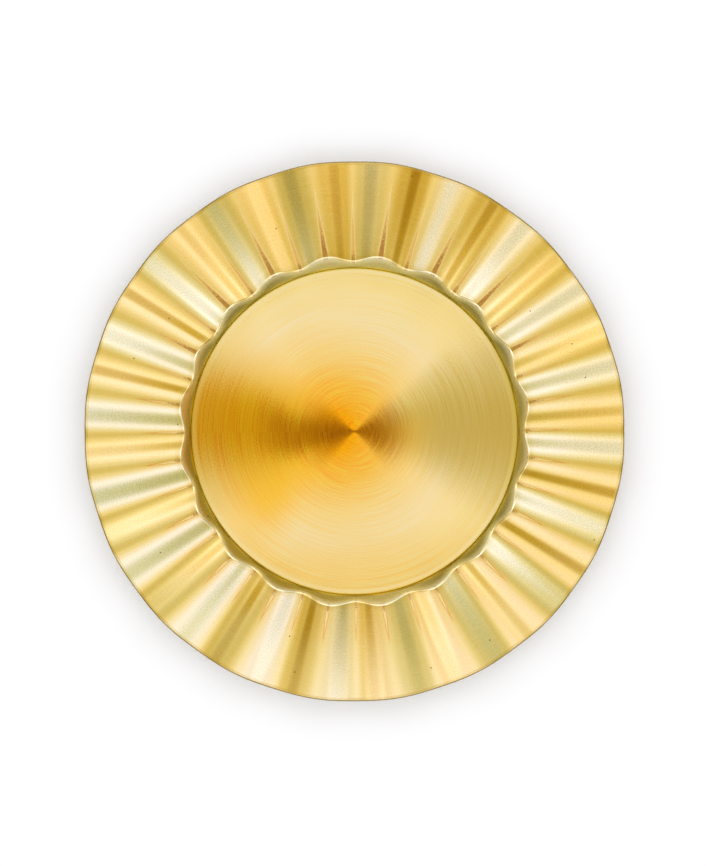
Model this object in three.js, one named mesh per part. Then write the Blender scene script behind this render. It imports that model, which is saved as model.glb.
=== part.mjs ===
// Charger plate: a moulded plate with a wide fluted rim, and a turned disc bonded into its well.
// Millimetres, with +Z up. The origin is the middle of the foot ring, on the table.

import * as THREE from "three";

// Driving dimensions, in millimetres and degrees.

// Fluted rim.
const PLATE_DIAMETER = 330;
const RIM_THICKNESS = 2.2;
const RIM_ANGLE = 6;
const EDGE_ROUNDING = 0.9;
const FLUTE_COUNT = 20;
const FLUTE_HEIGHT_AT_SHOULDER = 4.3;
const FLUTE_HEIGHT_AT_EDGE = 5;
const RIDGE_FULLNESS = 0.08;

// Wall between the rim and the well, which ends in the scalloped shoulder.
const WALL_ANGLE = 57.5;
const SHOULDER_HEIGHT = 7.8;
const SHOULDER_ROUNDING = 1.6;
const SHOULDER_UNDERSIDE_ROUNDING = 0.6;

// Floor of the well and the foot ring under it.
const FLOOR_THICKNESS = 2.2;
const WELL_ROUNDING = 0.6;
const HEEL_ROUNDING = 2.4;
const FOOT_HEIGHT = 1.6;
const FOOT_WIDTH = 4;
const FOOT_INSET = 5;
const FOOT_DRAFT = 0.5;

// Turned disc and the film that bonds it to the floor.
const DISC_DIAMETER = 200.8;
const DISC_THICKNESS = 0.9;
const DISC_GAP = 0.5;
const DISC_EDGE_ROUNDING = 0.5;
const BORDER_GROOVE_INSET = 3.4;
const BORDER_GROOVE_WIDTH = 0.7;
const BORDER_GROOVE_DEPTH = 0.15;
const BOND_THICKNESS = 0.3;
const BOND_INSET = 2.5;

// Facets.
const STATIONS_PER_FLUTE = 8;
const DISC_STATIONS = 120;
const RIM_RINGS = 3;
const WIDE_ARC_STEPS = 4;
const SMALL_ARC_STEPS = 2;

// Heights and radii that follow from the sizes above.
const floorUnderside = FOOT_HEIGHT;
const floorTop = floorUnderside + FLOOR_THICKNESS;
const bondTop = floorTop + BOND_THICKNESS;
const discTop = bondTop + DISC_THICKNESS;
const discRadius = DISC_DIAMETER / 2;
const bondRadius = discRadius - BOND_INSET;
const wellRadius = discRadius + DISC_GAP;
const rimSlope = Math.tan(THREE.MathUtils.degToRad(RIM_ANGLE));
const wallAngle = THREE.MathUtils.degToRad(WALL_ANGLE);
const wallSlope = Math.tan(wallAngle);
const edgeRadius = PLATE_DIAMETER / 2;
const shoulderRadius = wellRadius + SHOULDER_HEIGHT / wallSlope;
const shoulderTop = floorTop + SHOULDER_HEIGHT;
const footOuterRadius = wellRadius - FOOT_INSET;
const footInnerRadius = footOuterRadius - FOOT_WIDTH;

// A corner of an outline, cut round by an arc of the given radius in the given number of steps.
function corner(radius, height, rounding = 0, steps = 0) {
  return { point: new THREE.Vector2(radius, height), rounding, steps };
}

// The points of the arc that rounds one corner between its two neighbours. A rounding that is too
// large for its legs shrinks until it fits.
function roundedCorner(before, { point, rounding, steps }, after) {
  if (rounding === 0) {
    return [point];
  }
  const inLeg = before.point.clone().sub(point);
  const outLeg = after.point.clone().sub(point);
  const shortLeg = Math.min(inLeg.length(), outLeg.length());
  inLeg.normalize();
  outLeg.normalize();
  const halfAngle = Math.acos(THREE.MathUtils.clamp(inLeg.dot(outLeg), -1, 1)) / 2;
  const largestReach = 0.48 * shortLeg;
  const reach = Math.min(rounding / Math.tan(halfAngle), largestReach);
  const start = point.clone().addScaledVector(inLeg, reach);
  const toCentre = inLeg.clone().add(outLeg).setLength(reach / Math.cos(halfAngle));
  const centre = point.clone().add(toCentre);
  const turn = -Math.sign(inLeg.cross(outLeg)) * (Math.PI - 2 * halfAngle);
  const arc = [];
  for (let step = 0; step <= steps; step += 1) {
    arc.push(start.clone().rotateAround(centre, (turn * step) / steps));
  }
  return arc;
}

// The points of an outline given by its corners. Its first and last corners stay sharp.
function outline(corners) {
  return corners.flatMap((current, index) => {
    const before = corners[Math.max(index - 1, 0)];
    const after = corners[Math.min(index + 1, corners.length - 1)];
    return roundedCorner(before, current, after);
  });
}

// The wave of the flutes: -1 along a valley and +1 along a ridge. The fullness makes the ridges broader
// than the valleys.
function wave(phase) {
  return -Math.cos(phase) + RIDGE_FULLNESS * (1 - Math.cos(2 * phase));
}

function waveSlope(phase) {
  return Math.sin(phase) + 2 * RIDGE_FULLNESS * Math.sin(2 * phase);
}

// Half the height of the flutes, which grow from the shoulder to the edge.
const halfHeightAtShoulder = FLUTE_HEIGHT_AT_SHOULDER / 2;
const halfHeightGrowth = (FLUTE_HEIGHT_AT_EDGE - FLUTE_HEIGHT_AT_SHOULDER) / 2 / (edgeRadius - shoulderRadius);

function halfHeight(radius) {
  return halfHeightAtShoulder + halfHeightGrowth * (radius - shoulderRadius);
}

// The rim's upper face: a shallow cone that carries the flutes.
function rimTop(radius, phase) {
  return shoulderTop + rimSlope * (radius - shoulderRadius) + halfHeight(radius) * wave(phase);
}

// The rim's thickness measured upright, so that it stays even across the sloping sides of the flutes.
function uprightThickness(radius, phase) {
  const outwardSlope = rimSlope + halfHeightGrowth * wave(phase);
  const sidewaysSlope = (halfHeight(radius) * FLUTE_COUNT * waveSlope(phase)) / radius;
  return RIM_THICKNESS * Math.hypot(1, outwardSlope, sidewaysSlope);
}

function rimUnderside(radius, phase) {
  return rimTop(radius, phase) - uprightThickness(radius, phase);
}

// The plate's outline at one phase of a flute, from the axis under the floor, round the edge, and back to
// the axis on top. The wall is a plain cone, so its meeting with the flutes draws the scalloped shoulder.
function plateOutline(phase) {
  const slopeDifference = wallSlope - rimSlope - halfHeightGrowth * wave(phase);
  const shoulderLift = halfHeightAtShoulder * wave(phase);
  const topRadius = shoulderRadius + shoulderLift / slopeDifference;
  const thickness = uprightThickness(topRadius, phase);
  const wallOffset = RIM_THICKNESS / Math.cos(wallAngle);
  const underRadius = shoulderRadius + (shoulderLift + wallOffset - thickness) / slopeDifference;
  const underHeight = rimTop(underRadius, phase) - thickness;
  const heelRadius = wellRadius + (wallOffset - FLOOR_THICKNESS) / wallSlope;
  const rimStations = [];
  for (let ring = 1; ring < RIM_RINGS; ring += 1) {
    rimStations.push(THREE.MathUtils.lerp(underRadius, edgeRadius, ring / RIM_RINGS));
  }
  return outline([
    corner(0, floorUnderside),
    corner(footInnerRadius - FOOT_DRAFT, floorUnderside),
    corner(footInnerRadius, 0),
    corner(footOuterRadius, 0),
    corner(footOuterRadius + FOOT_DRAFT, floorUnderside),
    corner(heelRadius, floorUnderside, HEEL_ROUNDING, WIDE_ARC_STEPS),
    corner(underRadius, underHeight, SHOULDER_UNDERSIDE_ROUNDING, SMALL_ARC_STEPS),
    ...rimStations.map((radius) => corner(radius, rimUnderside(radius, phase))),
    corner(edgeRadius, rimUnderside(edgeRadius, phase), EDGE_ROUNDING, SMALL_ARC_STEPS),
    corner(edgeRadius, rimTop(edgeRadius, phase), EDGE_ROUNDING, SMALL_ARC_STEPS),
    ...rimStations.reverse().map((radius) => corner(radius, rimTop(radius, phase))),
    corner(topRadius, rimTop(topRadius, phase), SHOULDER_ROUNDING, WIDE_ARC_STEPS),
    corner(wellRadius, floorTop, WELL_ROUNDING, SMALL_ARC_STEPS),
    corner(0, floorTop),
  ]);
}

// A revolve about Z whose outline may change with the angle. Every outline has as many points as the
// first, and they run from the axis below to the axis above.
function revolve(outlineAt, stations) {
  const first = outlineAt(0);
  const geometry = new THREE.LatheGeometry(first, stations);
  const position = geometry.getAttribute("position");
  for (let station = 0; station <= stations; station += 1) {
    const angle = (2 * Math.PI * station) / stations;
    outlineAt(angle).forEach((point, index) => {
      const vertex = station * first.length + index;
      position.setXYZ(vertex, point.x * Math.sin(angle), point.y, point.x * Math.cos(angle));
    });
  }
  geometry.rotateX(Math.PI / 2);
  geometry.computeVertexNormals();
  return geometry;
}

function part(name, geometry, color, roughness, metalness) {
  const material = new THREE.MeshStandardMaterial({ color, roughness, metalness });
  const mesh = new THREE.Mesh(geometry, material);
  mesh.name = name;
  return mesh;
}

// The moulded plate. Its flutes have a valley on each of the X and Y axes.
function flutedPlate() {
  const outlineAt = (angle) => plateOutline(FLUTE_COUNT * angle);
  const geometry = revolve(outlineAt, FLUTE_COUNT * STATIONS_PER_FLUTE);
  return part("fluted_plate", geometry, "#e0c27a", 0.28, 0.9);
}

// The film that bonds the disc over nearly all of its back.
function bondFilm() {
  const film = outline([
    corner(0, floorTop),
    corner(bondRadius, floorTop),
    corner(bondRadius, bondTop),
    corner(0, bondTop),
  ]);
  return part("bond_film", revolve(() => film, DISC_STATIONS), "#d8d2bc", 0.6, 0);
}

// The turned disc, with a rounded upper edge and a fine border groove just inside it.
function centreDisc() {
  const grooveRadius = discRadius - BORDER_GROOVE_INSET;
  const disc = outline([
    corner(0, bondTop),
    corner(discRadius, bondTop),
    corner(discRadius, discTop, DISC_EDGE_ROUNDING, WIDE_ARC_STEPS),
    corner(grooveRadius + BORDER_GROOVE_WIDTH / 2, discTop),
    corner(grooveRadius, discTop - BORDER_GROOVE_DEPTH),
    corner(grooveRadius - BORDER_GROOVE_WIDTH / 2, discTop),
    corner(0, discTop),
  ]);
  return part("centre_disc", revolve(() => disc, DISC_STATIONS), "#e3b75a", 0.3, 1);
}

const chargerPlate = new THREE.Group();
chargerPlate.add(flutedPlate(), bondFilm(), centreDisc());

export default chargerPlate;
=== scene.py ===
import math

import bpy
import numpy as np
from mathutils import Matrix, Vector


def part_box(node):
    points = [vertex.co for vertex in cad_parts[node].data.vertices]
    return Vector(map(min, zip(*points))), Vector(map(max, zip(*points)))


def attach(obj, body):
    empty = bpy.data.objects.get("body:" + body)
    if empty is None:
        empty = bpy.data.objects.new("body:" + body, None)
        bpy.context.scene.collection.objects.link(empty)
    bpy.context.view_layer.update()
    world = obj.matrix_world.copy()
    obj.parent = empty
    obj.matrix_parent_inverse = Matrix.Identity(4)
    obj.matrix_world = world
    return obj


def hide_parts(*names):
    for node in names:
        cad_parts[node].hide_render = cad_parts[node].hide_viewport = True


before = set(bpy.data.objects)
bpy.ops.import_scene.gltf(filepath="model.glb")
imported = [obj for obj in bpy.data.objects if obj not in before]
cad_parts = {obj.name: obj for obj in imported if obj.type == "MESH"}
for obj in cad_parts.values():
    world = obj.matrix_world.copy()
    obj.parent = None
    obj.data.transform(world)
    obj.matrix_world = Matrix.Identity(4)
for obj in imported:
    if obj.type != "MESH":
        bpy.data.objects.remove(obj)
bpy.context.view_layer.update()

bpy.context.scene.view_settings.view_transform = "Standard"


# Fluted plate.
# The plate is one moulding: a wide fluted rim, a scalloped shoulder, a steep wall, the floor of the well
# and the foot ring. It is silvered, brushed while it turns, and sprayed with a gold-tinted clear lacquer.

_, plate_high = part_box("fluted_plate")
disc_low, disc_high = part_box("centre_disc")
film_low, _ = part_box("bond_film")

BOX_MARGIN = 0.00001
RIM_THICKNESS = 0.0022
RIM_ANGLE = math.radians(6)
FLUTE_COUNT = 20
FLUTE_HEIGHT_AT_SHOULDER = 0.0043
FLUTE_HEIGHT_AT_EDGE = 0.00497
FLUTE_STRETCH = 1.06
RIDGE_FULLNESS = 0.04
RIDGE_TRIM = 0.0005
WALL_ANGLE = math.radians(57.5)
SHOULDER_HEIGHT = 0.0078
DISC_GAP = 0.0005
FOOT_HEIGHT = 0.0016
FOOT_INSET = 0.005
FOOT_WIDTH = 0.004
FOOT_DRAFT = 0.0005
HEEL_ROUNDING = 0.0014
UNDER_SHOULDER_ROUNDING = 0.0003
EDGE_ROUNDING = 0.00105
SHOULDER_ROUNDING = 0.0009
WELL_ROUNDING = 0.00035
FOOT_ROUNDING = 0.0003

# The edge stays just inside the solid's box. Measured upright, the rim is thicker by the flutes' stretch,
# because their sides slope.
edge_radius = plate_high.x - BOX_MARGIN
floor_top = film_low.z
well_radius = disc_high.x + DISC_GAP
rim_slope = math.tan(RIM_ANGLE)
wall_slope = math.tan(WALL_ANGLE)
shoulder_radius = well_radius + SHOULDER_HEIGHT / wall_slope
shoulder_top = floor_top + SHOULDER_HEIGHT
edge_top = shoulder_top + rim_slope * (edge_radius - shoulder_radius)
wall_offset = RIM_THICKNESS / math.cos(WALL_ANGLE)
upright_thickness = FLUTE_STRETCH * RIM_THICKNESS
under_radius = shoulder_radius + (wall_offset - upright_thickness) / (wall_slope - rim_slope)
under_height = shoulder_top + rim_slope * (under_radius - shoulder_radius) - upright_thickness
heel_radius = well_radius + (wall_offset - (floor_top - FOOT_HEIGHT)) / wall_slope
foot_outer = well_radius - FOOT_INSET
foot_inner = foot_outer - FOOT_WIDTH


def outline_of(name, points):
    """A new object in edit mode: a chain of edges in the plane y = 0, through points (radius, height)."""
    bpy.ops.object.select_all(action="DESELECT")
    bpy.ops.mesh.primitive_plane_add(size=0.001, location=(0, 0, 0))
    piece = bpy.context.object
    piece.name = name
    bpy.ops.object.mode_set(mode="EDIT")
    bpy.ops.mesh.select_mode(type="VERT")
    bpy.ops.mesh.select_all(action="SELECT")
    bpy.ops.mesh.merge(type="CENTER")
    bpy.ops.transform.translate(value=(points[0][0], 0, points[0][1]))
    for before, after in zip(points, points[1:]):
        step = (after[0] - before[0], 0, after[1] - before[1])
        bpy.ops.mesh.extrude_region_move(TRANSFORM_OT_translate={"value": step})
    return piece


def select_where(piece, kind, wanted):
    """Selects the vertices or edges of an outline in edit mode whose middle (radius, height) is wanted."""
    bpy.ops.mesh.select_mode(type="VERT" if kind == "vertices" else "EDGE")
    bpy.ops.mesh.select_all(action="DESELECT")
    bpy.ops.object.mode_set(mode="OBJECT")
    corners = piece.data.vertices
    for item in getattr(piece.data, kind):
        members = [item.co] if kind == "vertices" else [corners[i].co for i in item.vertices]
        middle = sum(members[1:], members[0].copy()) / len(members)
        item.select = wanted(middle.x, middle.z)
    bpy.ops.object.mode_set(mode="EDIT")


SAME_PLACE = 1e-5


def round_corner(piece, point, rounding, segments):
    """Rounds the corner of an outline at a point, from a rounding's distance before it to as far after."""
    def at_corner(radius, height):
        return math.hypot(radius - point[0], height - point[1]) < SAME_PLACE

    select_where(piece, "vertices", at_corner)
    bpy.ops.mesh.bevel(offset=rounding, segments=segments, affect="VERTICES", profile=0.5)


SHARPEST_SMOOTH = math.radians(40)


def even_shading(piece):
    """Smooth shading in which flat faces stay flat beside the small faces of a rounded corner."""
    bpy.ops.object.select_all(action="DESELECT")
    piece.select_set(True)
    bpy.context.view_layer.objects.active = piece
    bpy.ops.object.shade_smooth_by_angle(angle=SHARPEST_SMOOTH)
    bpy.ops.object.modifier_add(type="WEIGHTED_NORMAL")
    piece.modifiers[-1].keep_sharp = True
    bpy.ops.object.modifier_apply(modifier=piece.modifiers[-1].name)


MERGE_REACH = 1e-6


def spin_round(piece, steps):
    """Spins a piece's outline once round the Z axis, closes it, and leaves edit mode."""
    bpy.ops.mesh.select_mode(type="VERT")
    bpy.ops.mesh.select_all(action="SELECT")
    bpy.ops.mesh.spin(steps=steps, angle=2 * math.pi, center=(0, 0, 0), axis=(0, 0, 1))
    bpy.ops.mesh.select_all(action="SELECT")
    bpy.ops.mesh.remove_doubles(threshold=MERGE_REACH)
    bpy.ops.mesh.normals_make_consistent(inside=False)
    bpy.ops.object.mode_set(mode="OBJECT")


heel = (heel_radius, FOOT_HEIGHT)
under_shoulder = (under_radius, under_height)
edge_under = (edge_radius, edge_top - upright_thickness)
edge_upper = (edge_radius, edge_top)
shoulder = (shoulder_radius, shoulder_top)
well_corner = (well_radius, floor_top)
plate = outline_of("gilt_fluted_plate", [
    (0, FOOT_HEIGHT),
    (foot_inner - FOOT_DRAFT, FOOT_HEIGHT),
    (foot_inner, 0),
    (foot_outer, 0),
    (foot_outer + FOOT_DRAFT, FOOT_HEIGHT),
    heel,
    under_shoulder,
    edge_under,
    edge_upper,
    shoulder,
    well_corner,
    (0, floor_top),
])

# The rim and the wall get rings of edges, so that they can take the shape of the flutes.
RIM_MARGIN = 0.01
RIM_RINGS = 23
WALL_MARGIN = 0.0008
WALL_RINGS = 5
STEPS_PER_FLUTE = 24


def on_rim(radius, height):
    return shoulder_radius + RIM_MARGIN < radius < edge_radius - RIM_MARGIN


def on_wall(radius, height):
    return well_radius + WALL_MARGIN < radius < shoulder_radius - WALL_MARGIN and height > floor_top


select_where(plate, "edges", on_rim)
bpy.ops.mesh.subdivide(number_cuts=RIM_RINGS)
round_corner(plate, heel, HEEL_ROUNDING, segments=6)
round_corner(plate, under_shoulder, UNDER_SHOULDER_ROUNDING, segments=4)
round_corner(plate, edge_under, EDGE_ROUNDING, segments=7)
round_corner(plate, edge_upper, EDGE_ROUNDING, segments=7)
round_corner(plate, shoulder, SHOULDER_ROUNDING, segments=10)
round_corner(plate, well_corner, WELL_ROUNDING, segments=4)
for foot_radius in (foot_inner, foot_outer):
    round_corner(plate, (foot_radius, 0), FOOT_ROUNDING, segments=3)
select_where(plate, "edges", on_wall)
bpy.ops.mesh.subdivide(number_cuts=WALL_RINGS)
spin_round(plate, FLUTE_COUNT * STEPS_PER_FLUTE)

# The flutes are pressed into the spun blank: the rim rises and falls, and the shoulder slides up and
# down the wall, which stays a plain cone.
PRESS_MARGIN = 0.0004
places = np.empty(len(plate.data.vertices) * 3)
plate.data.vertices.foreach_get("co", places)
places = places.reshape(-1, 3)
radius = np.hypot(places[:, 0], places[:, 1])
angle = np.arctan2(places[:, 1], places[:, 0])
phase = FLUTE_COUNT * angle
wave = -np.cos(phase) + RIDGE_FULLNESS * (1 - np.cos(2 * phase))
shoulder_slide = FLUTE_HEIGHT_AT_SHOULDER / 2 * wave / (wall_slope - rim_slope)
edge_lift = FLUTE_HEIGHT_AT_EDGE / 2 * wave
rim_start = under_radius + PRESS_MARGIN
up_the_wall = (radius - well_radius) * math.cos(WALL_ANGLE)
up_the_wall += (places[:, 2] - floor_top) * math.sin(WALL_ANGLE)
wall_length = (under_radius - well_radius) * math.cos(WALL_ANGLE)
wall_length += (under_height - floor_top) * math.sin(WALL_ANGLE)
along_rim = np.clip((radius - rim_start) / (edge_radius - rim_start), 0, 1)
shoulder_share = np.clip(up_the_wall / wall_length, 0, 1) * (1 - along_rim)
new_radius = radius + shoulder_share * shoulder_slide - along_rim * RIDGE_TRIM * (wave + 1) / 2
places[:, 0] = new_radius * np.cos(angle)
places[:, 1] = new_radius * np.sin(angle)
places[:, 2] += shoulder_share * shoulder_slide * wall_slope + along_rim * edge_lift
plate.data.vertices.foreach_set("co", places.ravel())
plate.data.attributes.new("blank_radius", "FLOAT", "POINT").data.foreach_set("value", radius)
plate.data.update()
even_shading(plate)


class Wire:
    """An output socket in a shader's node tree. Arithmetic on wires adds Math nodes to that tree."""

    def __init__(self, socket):
        self.socket = socket

    @staticmethod
    def node(tree, kind, settings=None, inputs=None, output=0):
        """Adds a node with its settings, fills its inputs by wires or values, and wires one output."""
        made = tree.nodes.new(kind)
        for name, value in (settings or {}).items():
            if name == "stops":
                ramp = made.color_ramp.elements
                for place, (position, colour) in enumerate(value):
                    stop = ramp[place] if place < len(ramp) else ramp.new(position)
                    stop.position = position
                    stop.color = (*colour, 1)
            else:
                setattr(made, name, value)
        for name, value in (inputs or {}).items():
            if isinstance(value, Wire):
                tree.links.new(value.socket, made.inputs[name])
            else:
                made.inputs[name].default_value = value
        return Wire(made.outputs[output])

    def math(self, operation, other=0.0, swapped=False):
        pair = (other, self) if swapped else (self, other)
        inputs = dict(enumerate(pair))
        return Wire.node(self.socket.id_data, "ShaderNodeMath", {"operation": operation}, inputs)

    def __add__(self, other):
        return self.math("ADD", other)

    def __sub__(self, other):
        return self.math("SUBTRACT", other)

    def __rsub__(self, other):
        return self.math("SUBTRACT", other, swapped=True)

    def __mul__(self, other):
        return self.math("MULTIPLY", other)

    def __truediv__(self, other):
        return self.math("DIVIDE", other)

    def __rtruediv__(self, other):
        return self.math("DIVIDE", other, swapped=True)

    __radd__ = __add__
    __rmul__ = __mul__


def new_finish(piece, name):
    """A new material on a piece: its tree, its main shader, and the piece's own x, y and z."""
    finish = bpy.data.materials.new(name)
    finish.use_nodes = True
    tree = finish.node_tree
    piece.data.materials.clear()
    piece.data.materials.append(finish)
    place = Wire.node(tree, "ShaderNodeTexCoord", output="Object")
    split = Wire.node(tree, "ShaderNodeSeparateXYZ", inputs={0: place}).socket.node
    return tree, tree.nodes["Principled BSDF"], [Wire(socket) for socket in split.outputs]


def smooth(value, low, high):
    """0 where a value is at low, 1 where it is at high, and a smooth step between them."""
    return Wire.node(value.socket.id_data, "ShaderNodeMapRange", {"interpolation_type": "SMOOTHSTEP"},
                     {"Value": value, "From Min": low, "From Max": high})


def blend_colour(tree, share, first, second, way="MIX"):
    """A colour that goes from the first to the second as share goes from 0 to 1."""
    first = (*first, 1) if isinstance(first, tuple) else first
    second = (*second, 1) if isinstance(second, tuple) else second
    # A Mix node has other sockets for numbers and vectors; 6 and 7 take colours, and output 2 gives one.
    return Wire.node(tree, "ShaderNodeMix", {"data_type": "RGBA", "blend_type": way},
                     {0: share, 6: first, 7: second}, output=2)


def feed(shader, **wires):
    """Links wires into a shader's inputs; an underscore in a name stands for a space."""
    for name, wire in wires.items():
        target = shader.inputs[name.replace("_", " ")]
        wire.socket.id_data.links.new(wire.socket, target)


GOLD = (0.83, 0.64, 0.235)
DARK_REFLECTION_GOLD = (0.54, 0.34, 0.02)
PALE_GOLD_HIGHLIGHT = (0.98, 0.87, 0.67)
RIDGE_HIGHLIGHT = (0.92, 0.86, 0.76)
CHAMPAGNE = (0.81, 0.74, 0.51)
GREY_REFLECTION_CHAMPAGNE = (0.56, 0.545, 0.37)
DEEPER_UPPER_RIGHT = (0.98, 0.93, 0.75)
PALER_LOWER_LEFT = (0.91, 0.95, 0.74)
ROSE_GOLD = (0.90, 0.48, 0.28)
ROSE = (0.97, 0.70, 0.55)
WHITE_GLINT = (1.0, 0.95, 0.93)
GLINT_DARK_BASE = (0.42, 0.20, 0.07)
RIDGE_HEM_HIGHLIGHT = (1.0, 0.97, 0.72)
VALLEY_HEM_HIGHLIGHT = (1.0, 0.88, 0.48)
EDGE_SHADE_GOLD = (0.62, 0.48, 0.15)
LIP_SHADE_TINT = (0.27, 0.19, 0.04)
SPECK = (0.12, 0.08, 0.03)

# The lacquer is mapped by turn, the angle round the plate; by out, the distance from its axis; and by off,
# the distance out from the shoulder on the blank, before the flutes are pressed.
GRAIN_SCALE = 1150.0
tree, gilt, (x, y, z) = new_finish(plate, "gilt_lacquer")
turn = y.math("ARCTAN2", x)
out = (x * x + y * y).math("SQRT")
blank = Wire.node(tree, "ShaderNodeAttribute", {"attribute_name": "blank_radius"}, output="Fac")
off = blank - shoulder_radius
flat_place = Wire.node(tree, "ShaderNodeCombineXYZ", inputs={0: x, 1: y})
grain = Wire.node(tree, "ShaderNodeTexNoise", {"noise_dimensions": "2D"},
                  {"Vector": flat_place, "Scale": GRAIN_SCALE, "Detail": 1.0})

# One side of each flute is gold and the other champagne. Across each flute, light is painted in: a pale
# painted highlight along the ridge and valley lines, and painted reflections that make a dark gold line
# down the middle of the gold side and a grey line down the middle of the champagne side. The lines'
# strength changes round the plate and fades on the lower outer rim. Side and valley go from about -1 to 1
# over a flute. Upper, lower, left and right are as seen from above.
SIDE_GRAIN = 0.08
RIDGE_HIGHLIGHT_SHARE = 0.28
RIDGE_HIGHLIGHT_LOSS = 0.18
UPPER_RIM = (0.06, 0.12)
LOWER_RIM = (-0.05, -0.12)
OUTER_RIM = (0.015, 0.055)
FADING_SHARE = 0.55
TONES_ROUND = 4
TONE_START = 1.4
DARK_LINE_SHARE = 0.74
DARK_LINE_SWING = 0.46
DARK_LINE_KEPT = 0.4
GREY_LINE_SHARE = 0.62
GREY_LINE_GAIN_LOWER_LEFT = 0.25
GREY_LINE_GAIN_OUTWARD = 0.2
side = (turn * FLUTE_COUNT).math("SINE")
side = side + (turn * (2 * FLUTE_COUNT)).math("SINE") * (2 * RIDGE_FULLNESS)
valley = (turn * FLUTE_COUNT).math("COSINE")
rough_side = side + (grain - 0.5) * SIDE_GRAIN
# Gold and champagne sides, with a pale painted highlight along the ridge and valley lines.
colour = blend_colour(tree, smooth(side, 0.0, 0.65), PALE_GOLD_HIGHLIGHT, GOLD)
colour = blend_colour(tree, smooth(side, 0.0, -0.6), colour, CHAMPAGNE)
# A painted highlight along the ridges, weaker on the upper rim.
ridge_highlight = smooth(valley, 0.2, -0.9) * (RIDGE_HIGHLIGHT_SHARE - smooth(y, *UPPER_RIM) * RIDGE_HIGHLIGHT_LOSS)
colour = blend_colour(tree, ridge_highlight, colour, RIDGE_HIGHLIGHT)
fading = 1 - smooth(y, *LOWER_RIM) * smooth(off, *OUTER_RIM) * FADING_SHARE
tone = (turn * TONES_ROUND - TONE_START).math("COSINE")
# Painted reflection: a dark gold line down the middle of each flute's gold side.
dark_reflection_line = smooth(rough_side, 0.86, 1.03) * (DARK_LINE_SHARE - tone * DARK_LINE_SWING)
dark_reflection_line = dark_reflection_line * (DARK_LINE_KEPT + fading * (1 - DARK_LINE_KEPT))
colour = blend_colour(tree, dark_reflection_line, colour, DARK_REFLECTION_GOLD)
lower_left = smooth((x + y) / out, -0.7, -1.3)
outward = smooth(off, 0.01, 0.04)
# Painted reflection: a grey line down the middle of each flute's champagne side.
grey_reflection_line = smooth(side, -0.76 + lower_left * 0.2, -1.02)
grey_reflection_line = grey_reflection_line * (GREY_LINE_SHARE + lower_left * GREY_LINE_GAIN_LOWER_LEFT + outward * GREY_LINE_GAIN_OUTWARD) * fading
colour = blend_colour(tree, grey_reflection_line, colour, GREY_REFLECTION_CHAMPAGNE)

# The rim's outer part is deeper in tint towards the upper right, and paler towards the lower left and
# below.
PALER_SHARE = 0.08
PALER_GAIN_BELOW = 0.14
upper_right_deepening = smooth((x + y) / out, -1.2, 1.2) * outward
colour = blend_colour(tree, upper_right_deepening, colour, DEEPER_UPPER_RIGHT, "MULTIPLY")
paler_lower_left = (outward - upper_right_deepening) * (PALER_SHARE + smooth(y, 0.0, -0.12) * PALER_GAIN_BELOW)
colour = blend_colour(tree, paler_lower_left, colour, PALER_LOWER_LEFT)

# Painted glints run out from the shoulder along every ridge and valley, and taper to a point. They are
# painted reflections: a whitish fill with rose-gold borders below and a rosy fill with whitish borders
# above, a dark painted reflection at the base by the shoulder, and a soft gold halo round each.
MARK_LENGTH = 0.022
MARK_GAIN_ABOVE = 0.019
MARK_LOSS_IN_VALLEY = 0.004
MARK_WIDTH = 0.21
MARK_WIDTH_GAIN_ABOVE = 0.12
HALO_END = (0.032, 0.012)
HALO_SHARE = 0.25
MARK_BORDER_SHARE = 0.8
GLINT_BASE_LENGTH = 0.006
GLINT_BASE_GAIN_ON_RIDGE = 0.020
GLINT_BASE_GRAIN = 1.4
GLINT_BASE_SHARE = 0.75
upper = smooth(y, -0.02, 0.10)
reach = MARK_LENGTH + upper * (MARK_GAIN_ABOVE - smooth(valley, -0.5, 0.5) * MARK_LOSS_IN_VALLEY)
spike = rough_side.math("ABSOLUTE") / (MARK_WIDTH + upper * MARK_WIDTH_GAIN_ABOVE) + off / reach
halo = smooth(spike, 2.6, 1.3) * smooth(off, *HALO_END)
colour = blend_colour(tree, halo * HALO_SHARE, colour, GOLD)
glint_fill_tint = blend_colour(tree, upper, WHITE_GLINT, ROSE)
colour = blend_colour(tree, smooth(spike, 1.0, 0.8), colour, glint_fill_tint)
border = smooth(spike, 1.25, 1.05) * smooth(spike, 0.70, 0.95)
glint_border_tint = blend_colour(tree, upper, ROSE_GOLD, WHITE_GLINT)
colour = blend_colour(tree, border * MARK_BORDER_SHARE, colour, glint_border_tint)
# The glints' dark painted reflection at their base by the shoulder.
glint_base_length = GLINT_BASE_LENGTH + upper * smooth(valley, 0.5, -0.5) * GLINT_BASE_GAIN_ON_RIDGE
glint_dark_base = smooth(off / glint_base_length + (grain - 0.5) * GLINT_BASE_GRAIN, 1.0, 0.2) * smooth(spike, 0.9, 0.5)
colour = blend_colour(tree, glint_dark_base * GLINT_BASE_SHARE, colour, GLINT_DARK_BASE)

# The wall's colours are painted light and shade: olive, darker in painted shade below its head, painted
# paler where it faces along x or y, under the valleys and where it faces right, and in deeper painted
# shade at the lower left. Its colours go from foot to head.
SHADED_OLIVE_WALL = ((0.36, 0.31, 0.045), (0.235, 0.21, 0.04), (0.55, 0.56, 0.42))
LIT_WALL_ALONG_X = ((0.50, 0.48, 0.15), (0.57, 0.57, 0.34), (0.98, 1.0, 0.94))
LIT_WALL_ALONG_Y = ((0.56, 0.54, 0.28), (0.56, 0.55, 0.34), (0.74, 0.77, 0.70))
WALL_STOPS = (0.1, 0.5, 0.85)
FACING = (0.84, 1.0)
LIT_LEFT_WALL = (1.0, 1.0, 0.95)
LEFT_WALL_SHARE = 0.6
LIT_VALLEY_WALL = (0.66, 0.64, 0.30)
VALLEY_WALL_SHARE = 0.5
SHADED_LOWER_LEFT_WALL = (0.36, 0.29, 0.012)
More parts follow.
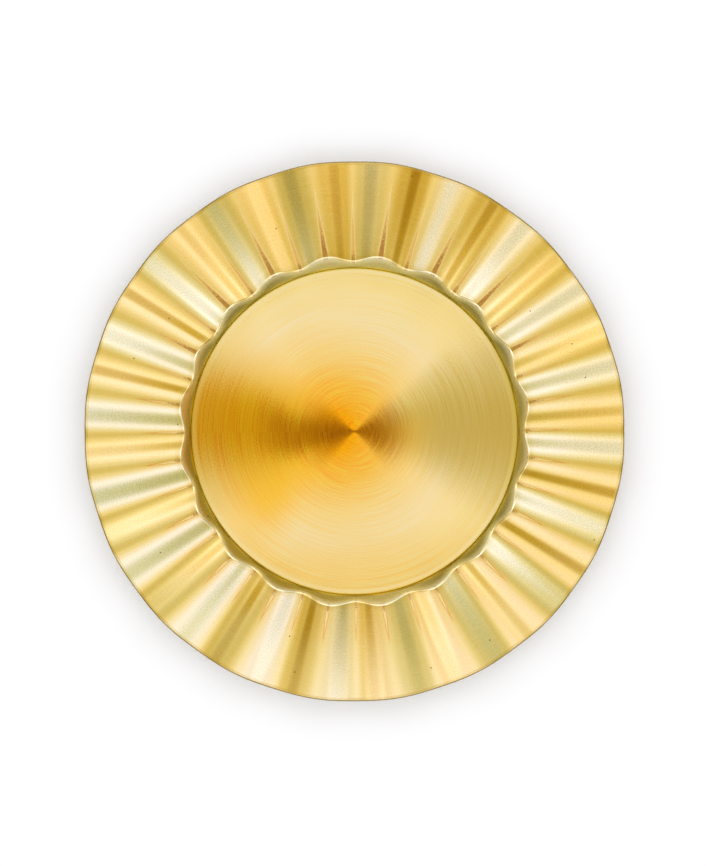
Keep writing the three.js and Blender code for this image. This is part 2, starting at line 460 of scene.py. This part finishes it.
LOWER_LEFT_WALL_SHARE = 0.85
CREVICE_HIGHLIGHT = (0.95, 0.87, 0.30)
CREVICE_START = 0.0011
CREVICE_FULL = 0.0005
CREVICE_SHARE = 0.7
CREVICE_GAIN = 0.25
FLOOR_GOLD = (0.80, 0.65, 0.33)
FLOOR_START = 0.001
FLOOR_FULL = 0.003
WALL_HEAD = (-0.0002, -0.0008)
up_wall = (blank - well_radius) / (shoulder_radius - well_radius)


def wall_shading(colours):
    """Painted shading that changes up the wall, from its foot to its head."""
    stops = list(zip(WALL_STOPS, colours))
    return Wire.node(tree, "ShaderNodeValToRGB", {"stops": stops}, {"Fac": up_wall})


along_x = smooth((x / out).math("ABSOLUTE"), *FACING)
along_y = smooth((y / out).math("ABSOLUTE"), *FACING)
wall = blend_colour(tree, along_x, wall_shading(SHADED_OLIVE_WALL), wall_shading(LIT_WALL_ALONG_X))
wall = blend_colour(tree, along_y, wall, wall_shading(LIT_WALL_ALONG_Y))
# Painted light where the wall faces right and under the valleys, and painted shade at the lower left.
facing_right = smooth(x / out, -0.91, -1.0) * smooth(up_wall, 0.2, 0.6)
wall = blend_colour(tree, facing_right * LEFT_WALL_SHARE, wall, LIT_LEFT_WALL)
lit_under_valley = smooth(valley, -0.6, 1.0) * smooth(up_wall, 0.1, 0.6)
wall = blend_colour(tree, lit_under_valley * VALLEY_WALL_SHARE, wall, LIT_VALLEY_WALL)
shaded = lower_left * smooth(up_wall, 0.9, 0.5)
wall = blend_colour(tree, shaded * LOWER_LEFT_WALL_SHARE, wall, SHADED_LOWER_LEFT_WALL)
# A pale painted highlight at the wall's foot beside the disc, stronger where the wall faces along x or y.
crevice_highlight = smooth(blank, well_radius + CREVICE_START, well_radius + CREVICE_FULL)
crevice_highlight = crevice_highlight * (CREVICE_SHARE + CREVICE_GAIN * along_x.math("MAXIMUM", along_y))
wall = blend_colour(tree, crevice_highlight, wall, CREVICE_HIGHLIGHT)
well_floor = smooth(blank, well_radius - FLOOR_START, well_radius - FLOOR_FULL)
wall = blend_colour(tree, well_floor, wall, FLOOR_GOLD)
colour = blend_colour(tree, smooth(off, *WALL_HEAD), colour, wall)

# A painted highlight makes a bright hem along the shoulder, with painted shade just behind it, and
# painted shade makes a dark line and a dark lip at the edge of the rim.
HEM_INNER = (-0.0003, 0.0001)
HEM_OUTER = (0.0009, 0.0004)
HEM_KEPT = 0.4
HEM_SHADE_INNER = (0.0006, 0.0011)
HEM_SHADE_OUTER = (0.0050, 0.0013)
HEM_SHADE_SHARE = 0.35
LIP_LINE_START = 0.0026
LIP_LINE_FULL = 0.0018
LIP_LINE_SHARE = 0.5
LIP_START = 0.0012
LIP_FULL = 0.0005
hem_highlight = smooth(off, *HEM_INNER) * smooth(off, *HEM_OUTER)
hem_highlight = hem_highlight * (smooth(side.math("ABSOLUTE"), 0.9, 0.3) * (1 - HEM_KEPT) + HEM_KEPT)
hem_highlight_tint = blend_colour(tree, smooth(valley, -0.5, 0.5), RIDGE_HEM_HIGHLIGHT, VALLEY_HEM_HIGHLIGHT)
colour = blend_colour(tree, hem_highlight, colour, hem_highlight_tint)
# Painted shade just behind the hem, and in a line just inside the rim's edge.
hem_shade = smooth(off, *HEM_SHADE_INNER) * smooth(off, *HEM_SHADE_OUTER)
lip_shade_line = smooth(blank, edge_radius - LIP_LINE_START, edge_radius - LIP_LINE_FULL)
edge_shade = (hem_shade * HEM_SHADE_SHARE).math("MAXIMUM", lip_shade_line * LIP_LINE_SHARE)
colour = blend_colour(tree, edge_shade, colour, EDGE_SHADE_GOLD)
# Painted shade darkens the lip at the rim's edge.
lip_shade = smooth(blank, edge_radius - LIP_START, edge_radius - LIP_FULL)
colour = blend_colour(tree, lip_shade, colour, LIP_SHADE_TINT)

# Fine grain, the brush's marks that run round the plate, and a few specks of dust under the lacquer.
GRAIN_SHARE = 0.28
BRUSH_ACROSS = 1300
BRUSH_ROUND = 5
BRUSH_UP = 400
BRUSH_SHARE = 0.12
SPECK_SCALE = 15.0
SPECK_SIZE = (0.0085, 0.004)
colour = blend_colour(tree, GRAIN_SHARE, colour, grain, "OVERLAY")
brush_place = Wire.node(tree, "ShaderNodeCombineXYZ",
                        inputs={0: out * BRUSH_ACROSS, 1: turn * BRUSH_ROUND, 2: z * BRUSH_UP})
brush = Wire.node(tree, "ShaderNodeTexNoise", inputs={"Vector": brush_place, "Scale": 1.0, "Detail": 3.0})
colour = blend_colour(tree, BRUSH_SHARE, colour, brush, "OVERLAY")
speck_place = Wire.node(tree, "ShaderNodeTexVoronoi", {"voronoi_dimensions": "2D"},
                        {"Vector": flat_place, "Scale": SPECK_SCALE})
colour = blend_colour(tree, smooth(speck_place, *SPECK_SIZE), colour, SPECK)
brush_bump = Wire.node(tree, "ShaderNodeBump",
                       inputs={"Strength": 0.1, "Distance": 0.0001, "Height": brush})
feed(gilt, Base_Color=colour, Roughness=0.13 + brush * 0.10, Normal=brush_bump)
gilt.inputs["Metallic"].default_value = 1
gilt.inputs["Anisotropic"].default_value = 0.3
gilt.inputs["Anisotropic Rotation"].default_value = 0.25
gilt.inputs["Coat Weight"].default_value = 1
gilt.inputs["Coat Roughness"].default_value = 0.04

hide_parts("fluted_plate")
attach(plate, "root")


# Bond film.
# A thin sheet of clear adhesive on the back of the disc, which holds the disc to the floor of the well. It
# is cut a little smaller than the disc, so that none of it squeezes out round the edge.

FILM_DARK = (0.72, 0.70, 0.60)
FILM_LIGHT = (0.84, 0.82, 0.74)
MOTTLE_SCALE = 180.0
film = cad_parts["bond_film"]
tree, bond, _ = new_finish(film, "clear_adhesive")
mottle = Wire.node(tree, "ShaderNodeTexNoise", inputs={"Scale": MOTTLE_SCALE, "Detail": 3.0})
feed(bond, Base_Color=blend_colour(tree, mottle, FILM_DARK, FILM_LIGHT), Roughness=0.45 + mottle * 0.3)


# Centre disc.
# A thin metal disc, turned on a lathe so that fine lines run round its face, rounded at its edge, and
# lacquered while it turned, with the tint deepest in the middle.

DISC_EDGE_ROUNDING = 0.0003
GROOVE_INSET = 0.0034
GROOVE_WIDTH = 0.0007
GROOVE_DEPTH = 0.00015
DISC_STEPS = 360
disc_radius = disc_high.x
disc_top = disc_high.z
disc_edge = (disc_radius, disc_top)
groove = disc_radius - GROOVE_INSET
disc = outline_of("turned_centre_disc", [
    (0, disc_low.z),
    (disc_radius, disc_low.z),
    disc_edge,
    (groove + GROOVE_WIDTH / 2, disc_top),
    (groove, disc_top - GROOVE_DEPTH),
    (groove - GROOVE_WIDTH / 2, disc_top),
    (0, disc_top),
])
round_corner(disc, disc_edge, DISC_EDGE_ROUNDING, segments=8)
spin_round(disc, DISC_STEPS)
even_shading(disc)

# The tint goes from the middle, a little left of the axis, to the edge. Its palest ring, about seven
# tenths of the way out, is a painted highlight.
DISC_TINTS_AND_HIGHLIGHT = [
    (0.0, (0.98, 0.36, 0.002)),
    (0.12, (0.99, 0.47, 0.008)),
    (0.31, (1.0, 0.63, 0.12)),
    (0.50, (1.0, 0.79, 0.39)),
    (0.70, (0.99, 0.87, 0.62)),
    (0.88, (0.99, 0.86, 0.52)),
    (1.0, (0.97, 0.83, 0.45)),
]
TINT_OFFSET = 0.012
DISC_GRAIN_SCALE = 1300.0
tree, turned, (x, y, _) = new_finish(disc, "turned_lacquer")
turn = y.math("ARCTAN2", x)
out = (x * x + y * y).math("SQRT")
beside = x + TINT_OFFSET
from_middle = (beside * beside + y * y).math("SQRT") / disc_radius
tint = Wire.node(tree, "ShaderNodeValToRGB", {"stops": DISC_TINTS_AND_HIGHLIGHT}, {"Fac": from_middle})
flat_place = Wire.node(tree, "ShaderNodeCombineXYZ", inputs={0: x, 1: y})
grain = Wire.node(tree, "ShaderNodeTexNoise", {"noise_dimensions": "2D"},
                  {"Vector": flat_place, "Scale": DISC_GRAIN_SCALE})

# The bow-tie of light on the turned face is painted in as wedges that fan out from the axis: painted
# reflections in deep orange to the left, olive to the right and upper right, and warmer gold below, with
# a dark painted reflection at the heart beside the axis. Lean is a wedge's slope, 0 along x.
LEFT_GOLD = (1.0, 0.61, 0.025)
LEFT_SHARE = 0.85
LOWER_GOLD = (0.96, 0.68, 0.20)
LOWER_SHARE = 0.6
RIGHT_GOLD = (0.79, 0.69, 0.45)
RIGHT_SHARE = 0.7
UPPER_RIGHT_GOLD = (0.80, 0.68, 0.32)
UPPER_RIGHT_SHARE = 0.7
LEFT_INNER = (0.64, 0.30, 0.002)
LEFT_OUTER = (0.86, 0.48, 0.008)
LEFT_WEDGE_SHARE = 0.9
DARK_HEART_REFLECTION = (0.46, 0.18, 0.002)
HEART_SHARE = 0.85
AXIS_WIDTH = 0.001
WEDGE_LIFT = 0.06
WEDGE_DROP = 0.16
WEDGE_GRAIN = 0.4
lean = y / x.math("ABSOLUTE").math("MAXIMUM", AXIS_WIDTH)
rough_lean = (lean + WEDGE_LIFT - smooth(out, 0.035, 0.065) * WEDGE_DROP).math("ABSOLUTE")
rough_lean = rough_lean + (grain - 0.5) * WEDGE_GRAIN
left = smooth((lean + 0.3).math("ABSOLUTE"), 1.5, 0.4)
left = left * smooth(x, -0.01, -0.05) * smooth(out, 0.112, 0.07)
tint = blend_colour(tree, left * LEFT_SHARE, tint, LEFT_GOLD)
lower = smooth(y, -0.05, -0.09)
tint = blend_colour(tree, lower * LOWER_SHARE, tint, LOWER_GOLD)
right = smooth(rough_lean, 0.9, 0.3) * smooth(x, 0.03, 0.06)
tint = blend_colour(tree, right * RIGHT_SHARE, tint, RIGHT_GOLD)
upper_right = smooth((lean - 0.5).math("ABSOLUTE"), 0.5, 0.1)
upper_right = upper_right * smooth(x, 0.01, 0.03) * smooth(out, 0.09, 0.06)
tint = blend_colour(tree, upper_right * UPPER_RIGHT_SHARE, tint, UPPER_RIGHT_GOLD)
left_wedge_reflection = smooth(rough_lean, 0.5, 0.1) * smooth(x, 0.005, -0.02)
left_wedge_reflection_tint = blend_colour(tree, smooth(out, 0.040, 0.068), LEFT_INNER, LEFT_OUTER)
tint = blend_colour(tree, left_wedge_reflection * LEFT_WEDGE_SHARE, tint, left_wedge_reflection_tint)
dark_heart_reflection = smooth(rough_lean, 1.4, 0.4) * smooth(out, 0.040, 0.010)
tint = blend_colour(tree, dark_heart_reflection * HEART_SHARE, tint, DARK_HEART_REFLECTION)

# Outside the groove the border is bright. Fine grain and the lathe's lines cover the whole face.
BORDER_GOLD = (1.0, 0.92, 0.64)
BORDER_FULL = 0.0020
BORDER_END = 0.0008
BORDER_SHARE = 0.5
DISC_GRAIN_SHARE = 0.3
LINES_ACROSS = 1900
LINES_ROUND = 1.2
LINES_SHARE = 0.85
border = smooth(out, groove, disc_radius - BORDER_FULL)
border = border * smooth(out, disc_radius, disc_radius - BORDER_END)
tint = blend_colour(tree, border * BORDER_SHARE, tint, BORDER_GOLD)
tint = blend_colour(tree, DISC_GRAIN_SHARE, tint, grain, "OVERLAY")
line_place = Wire.node(tree, "ShaderNodeCombineXYZ", inputs={0: out * LINES_ACROSS, 1: turn * LINES_ROUND})
lines = Wire.node(tree, "ShaderNodeTexNoise", inputs={"Vector": line_place, "Scale": 1.0, "Detail": 4.0})
tint = blend_colour(tree, LINES_SHARE, tint, lines, "OVERLAY")
line_bump = Wire.node(tree, "ShaderNodeBump",
                      inputs={"Strength": 0.3, "Distance": 0.0001, "Height": lines})
feed(turned, Base_Color=tint, Roughness=0.27 + lines * 0.12, Normal=line_bump)
turned.inputs["Metallic"].default_value = 1
turned.inputs["Anisotropic"].default_value = 1
turned.inputs["Anisotropic Rotation"].default_value = 0.25
turned.inputs["Coat Weight"].default_value = 0.3
turned.inputs["Coat Roughness"].default_value = 0.08

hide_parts("centre_disc")
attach(disc, "root")


# Floor, light and camera.
# The plate stands on a white floor, in a tent with a warm roof and pale sides. Two long lamps hang over
# it, one on either side of the camera's view.

FLOOR_SIZE = 8.0
bpy.ops.object.select_all(action="DESELECT")
bpy.ops.mesh.primitive_plane_add(size=FLOOR_SIZE, location=(0, 0, 0))
floor = bpy.context.object
floor.name = "floor"
_, paper, _ = new_finish(floor, "white_paper")
paper.inputs["Base Color"].default_value = (0.95, 0.95, 0.95, 1)
paper.inputs["Roughness"].default_value = 0.8

# The camera and reflections see a dim warm roof, darker to the left and right, and pale sides. All else
# is lit by daylight.
ROOF = (0.74, 0.575, 0.15)
ROOF_LEFT = (0.65, 0.48, 0.10)
ROOF_RIGHT = (0.69, 0.52, 0.12)
SIDE_WALL = (0.78, 0.69, 0.32)
LOW_LEFT = (0.50, 0.40, 0.18)
LOW_RIGHT = (0.46, 0.41, 0.22)
LOW_ALONG_Y = (1.05, 1.02, 0.94)
HORIZON_ALONG_X = (0.80, 0.77, 0.66)
HORIZON_ALONG_Y = (0.95, 0.93, 0.86)
DAYLIGHT = (0.96, 0.95, 0.89)
LEFT_TO_RIGHT = (-0.1, 0.1)
LOWEST_RISE = 0.05
LEAST_SPREAD = 0.0001
world = bpy.data.worlds.new("white_tent")
world.use_nodes = True
bpy.context.scene.world = world
tree = world.node_tree
way = Wire.node(tree, "ShaderNodeTexCoord", output="Generated")
split = Wire.node(tree, "ShaderNodeSeparateXYZ", inputs={0: way}).socket.node
x, y, z = [Wire(socket) for socket in split.outputs]
rise = z.math("MAXIMUM", LOWEST_RISE)
roof_sides = blend_colour(tree, smooth(x, *LEFT_TO_RIGHT), ROOF_LEFT, ROOF_RIGHT)
roof = blend_colour(tree, smooth((x / rise).math("ABSOLUTE"), 0.15, 0.85), ROOF, roof_sides)
sky = blend_colour(tree, smooth((y / rise).math("ABSOLUTE"), 0.12, 0.40), roof, SIDE_WALL)
low_wall = blend_colour(tree, smooth(x, *LEFT_TO_RIGHT), LOW_LEFT, LOW_RIGHT)
along_y = smooth(y * y / (x * x + y * y + LEAST_SPREAD), 0.012, 0.25)
low_wall = blend_colour(tree, along_y, low_wall, LOW_ALONG_Y)
horizon = blend_colour(tree, along_y, HORIZON_ALONG_X, HORIZON_ALONG_Y)
sky = blend_colour(tree, smooth(z, 0.66, 0.48), sky, low_wall)
sky = blend_colour(tree, smooth(z, 0.36, 0.24), sky, horizon)
path = Wire.node(tree, "ShaderNodeLightPath").socket.node
seen = Wire(path.outputs["Is Camera Ray"]) + Wire(path.outputs["Is Glossy Ray"])
seen = seen + Wire(path.outputs["Is Transmission Ray"])
sky = blend_colour(tree, seen, DAYLIGHT, sky)
backdrop = tree.nodes["Background"]
backdrop.inputs["Strength"].default_value = 1.0
tree.links.new(sky.socket, backdrop.inputs["Color"])

# Each long lamp is a stack of layers, given as width, shade and glow, with a short lamp at each end.
LAMP_HEIGHT = 0.56
LAMP_LENGTH = 1.0
LAMP_LAYERS = (
    (0.16, (0.38, 0.40, 1.0), 0.42),
    (0.30, (0.57, 0.59, 1.0), 0.28),
    (0.46, (1.0, 1.0, 0.85), 0.155),
)
LAYER_STEP = 0.01
UPPER_LAMP_PLACE = 0.345
UPPER_LAMP_GAIN = 1.15
LOWER_LAMP_PLACE = -0.262
LOWER_LAMP_GAIN = 1.0
END_PLACE = 0.4
END_LENGTH = 0.3
END_WIDTH = 0.2
END_GLOW = 0.42
END_SHADE = (0.65, 0.69, 1.0)


def hang_lamp(across, along, layer, length, width, glow, shade):
    """A flat lamp that faces down. Each layer hangs a little higher, so that their glows add up."""
    bpy.ops.object.light_add(type="AREA", location=(across, along, LAMP_HEIGHT + LAYER_STEP * layer))
    lamp = bpy.context.object
    lamp.data.shape = "RECTANGLE"
    lamp.data.size = length
    lamp.data.size_y = width
    lamp.data.energy = glow * math.pi * length * width
    lamp.data.color = shade
    lamp.visible_camera = False


for along, gain in ((UPPER_LAMP_PLACE, UPPER_LAMP_GAIN), (LOWER_LAMP_PLACE, LOWER_LAMP_GAIN)):
    for layer, (width, shade, glow) in enumerate(LAMP_LAYERS):
        hang_lamp(0, along, layer, LAMP_LENGTH, width, glow * gain, shade)
    for across in (-END_PLACE, END_PLACE):
        hang_lamp(across, along, len(LAMP_LAYERS), END_LENGTH, END_WIDTH, END_GLOW, END_SHADE)

# The camera looks straight down. The view's height is measured at the rim.
CAMERA_HEIGHT = 0.85
CAMERA_PLACE = (0.0, -0.001, CAMERA_HEIGHT)
CAMERA_ROLL = math.radians(-0.45)
VIEW_HEIGHT = 0.5271
SENSOR = 36.0
bpy.ops.object.camera_add(location=CAMERA_PLACE, rotation=(0, 0, CAMERA_ROLL))
camera = bpy.context.object
camera.data.sensor_width = SENSOR
camera.data.lens = SENSOR * (CAMERA_HEIGHT - edge_top) / VIEW_HEIGHT
bpy.context.scene.camera = camera
